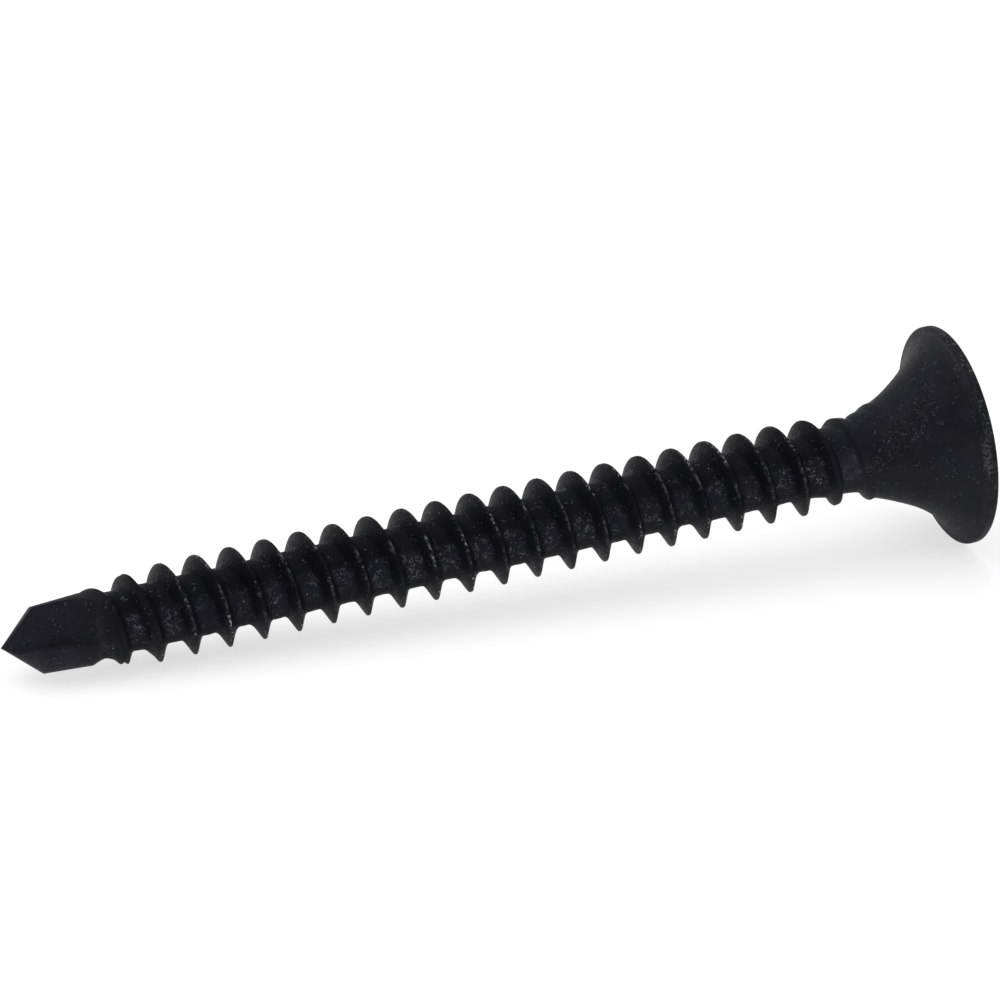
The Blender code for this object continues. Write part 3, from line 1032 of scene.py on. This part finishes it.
def bumpy_normal(n, marks, seen, rooted, loose):
    """The tilted normal with the skin's fine bumps on it."""
    rich = n.math("MAXIMUM", rooted, n.product(loose, LOOSE_RICHNESS))
    amount = n.math("ADD", n.product(rich, CRYSTAL_TILT), SKIN_TILT)
    tilted = tilted_normal(n, marks, seen.cell_colour, amount)
    fine = n.product(seen.fine, FINE_HEIGHT)
    height = n.math("ADD", fine, n.product(seen.finest, FINEST_HEIGHT))
    bump = n.add("ShaderNodeBump", None, Height=height, Normal=tilted)
    bump.inputs["Strength"].default_value = BUMP_STRENGTH
    bump.inputs["Distance"].default_value = BUMP_DISTANCE * MM
    return bump.outputs[0]


def coating_roughness(n, marks, seen, shine):
    """Rougher in the thread's root, smoother on crystals."""
    rough = n.remap(seen.fine, *ROUGHNESSES)
    rough = n.math("ADD", rough, n.product(marks.deep, DEEP_ROUGHER))
    return n.math("SUBTRACT", rough, n.product(shine, CRYSTAL_SMOOTHER))


def phosphate():
    """Black phosphate: near black, faintly blue, with fine crystals and worn crests."""
    material = new_material("black_phosphate")
    n = Nodes(material.node_tree)
    marks = read_marks(n)
    seen = make_patterns(n, marks.place)
    rooted, loose = crystal_places(n, marks, seen)
    shine = crystal_shine(n, marks, seen, rooted, loose)
    glints = glints_on_crests(n, marks, seen)
    pits = n.product(n.remap(seen.chance, *PIT_CHANCE_RANGE), n.math("MAXIMUM", rooted, loose))
    colour = n.mix(pits, coating_colour(n, marks, seen), PIT)
    colour = n.mix(shine, worn_and_highlit_colour(n, marks, seen, colour, glints), CRYSTAL)
    bright = n.math("MAXIMUM", shine, glints)
    shader = n.add("ShaderNodeBsdfPrincipled", None, Base_Color=colour)
    n.feed(shader.inputs["Roughness"], coating_roughness(n, marks, seen, shine))
    n.feed(shader.inputs["Metallic"], n.product(bright, METAL_SHARE))
    n.feed(shader.inputs["Normal"], bumpy_normal(n, marks, seen, rooted, loose))
    shader.inputs["Specular IOR Level"].default_value = SPECULAR
    shader.inputs["Specular Tint"].default_value = SPECULAR_TINT
    n.end_in("ShaderNodeOutputMaterial", shader)
    return material


def floor_material():
    """White floor that shows pure white to the camera and in gloss, and keeps the screw's shadow."""
    material = new_material("white_floor")
    n = Nodes(material.node_tree)
    path = n.add("ShaderNodeLightPath")
    seen = n.product(path.outputs["Is Camera Ray"], FLOOR_GLOW)
    mirrored = n.product(path.outputs["Is Glossy Ray"], FLOOR_GLOW_IN_GLOSS)
    diffuse = n.add("ShaderNodeBsdfDiffuse", None, Color=FLOOR_COLOUR)
    glow = n.add("ShaderNodeEmission", None, Strength=n.math("MAXIMUM", seen, mirrored))
    both = n.add("ShaderNodeAddShader")
    n.feed(both.inputs[0], diffuse.outputs[0])
    n.feed(both.inputs[1], glow.outputs[0])
    n.end_in("ShaderNodeOutputMaterial", both)
    return material


def make_floor():
    half = FLOOR_HALF_WIDTH * MM
    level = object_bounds()[0].z
    corners = [(-half, -half, level), (half, -half, level), (half, half, level), (-half, half, level)]
    floor = mesh_object("floor", corners, [(0, 1, 2, 3)])
    floor.data.materials.append(floor_material())


def make_world():
    """White surroundings, darker on the camera's side; pure white where the camera sees them."""
    world = bpy.data.worlds.new("studio")
    bpy.context.scene.world = world
    world.use_nodes = True
    n = Nodes(world.node_tree)
    direction = n.add("ShaderNodeTexCoord").outputs["Generated"]
    facing = n.vector("DOT_PRODUCT", direction, tuple(DARK_SIDE.normalized()))
    level = n.remap(facing, DARK_SIDE_START, DARK_SIDE_FULL, WORLD_LEVEL, DARK_SIDE_LEVEL)
    camera = n.add("ShaderNodeLightPath").outputs["Is Camera Ray"]
    strength = n.math("MAXIMUM", level, camera)
    background = n.add("ShaderNodeBackground", None, Color=WHITE, Strength=strength)
    n.end_in("ShaderNodeOutputWorld", background)


def make_overhead_light():
    light = bpy.data.lights.new("overhead", "AREA")
    light.shape = "RECTANGLE"
    light.size = OVERHEAD_WIDTH * MM
    light.size_y = OVERHEAD_DEPTH * MM
    light.energy = OVERHEAD_WATTS
    item = bpy.data.objects.new("overhead", light)
    bpy.context.scene.collection.objects.link(item)
    item.location = OVERHEAD_PLACE * MM
    item.rotation_euler = (-OVERHEAD_PLACE).to_track_quat("-Z", "Y").to_euler()
    item.visible_glossy = False


def camera_directions():
    """The camera's right, up and back directions."""
    back = Vector((
        math.sin(CAMERA_AZIMUTH) * math.cos(CAMERA_ELEVATION),
        -math.cos(CAMERA_AZIMUTH) * math.cos(CAMERA_ELEVATION),
        math.sin(CAMERA_ELEVATION),
    ))
    level = Vector((math.cos(CAMERA_AZIMUTH), math.sin(CAMERA_AZIMUTH), 0.0))
    steep = back.cross(level)
    right = level * math.cos(CAMERA_ROLL) + steep * math.sin(CAMERA_ROLL)
    up = steep * math.cos(CAMERA_ROLL) - level * math.sin(CAMERA_ROLL)
    return right, up, back


def make_camera():
    right, up, back = camera_directions()
    axis = Vector((math.cos(SLOPE_AT_REST), 0.0, math.sin(SLOPE_AT_REST)))
    middle = TIP_AT_REST + axis * (LENGTH / 2)
    across = (CAMERA_MIDDLE_PIXEL[0] - FRAME_PIXELS / 2) / CAMERA_PIXELS_PER_MM
    above = (FRAME_PIXELS / 2 - CAMERA_MIDDLE_PIXEL[1]) / CAMERA_PIXELS_PER_MM
    place = middle + back * CAMERA_DISTANCE - right * across - up * above
    camera = bpy.data.cameras.new("camera")
    camera.sensor_width = SENSOR_WIDTH
    camera.lens = CAMERA_PIXELS_PER_MM * CAMERA_DISTANCE * SENSOR_WIDTH / FRAME_PIXELS
    camera.clip_start = CAMERA_CLIP_START * MM
    camera.clip_end = CAMERA_CLIP_END * MM
    item = bpy.data.objects.new("camera", camera)
    bpy.context.scene.collection.objects.link(item)
    turn = Matrix((right, up, back)).transposed().to_4x4()
    item.matrix_world = Matrix.Translation(place * MM) @ turn
    bpy.context.scene.camera = item


bpy.context.scene.view_settings.view_transform = "Standard"
make_screw()
make_floor()
make_world()
make_overhead_light()
make_camera()
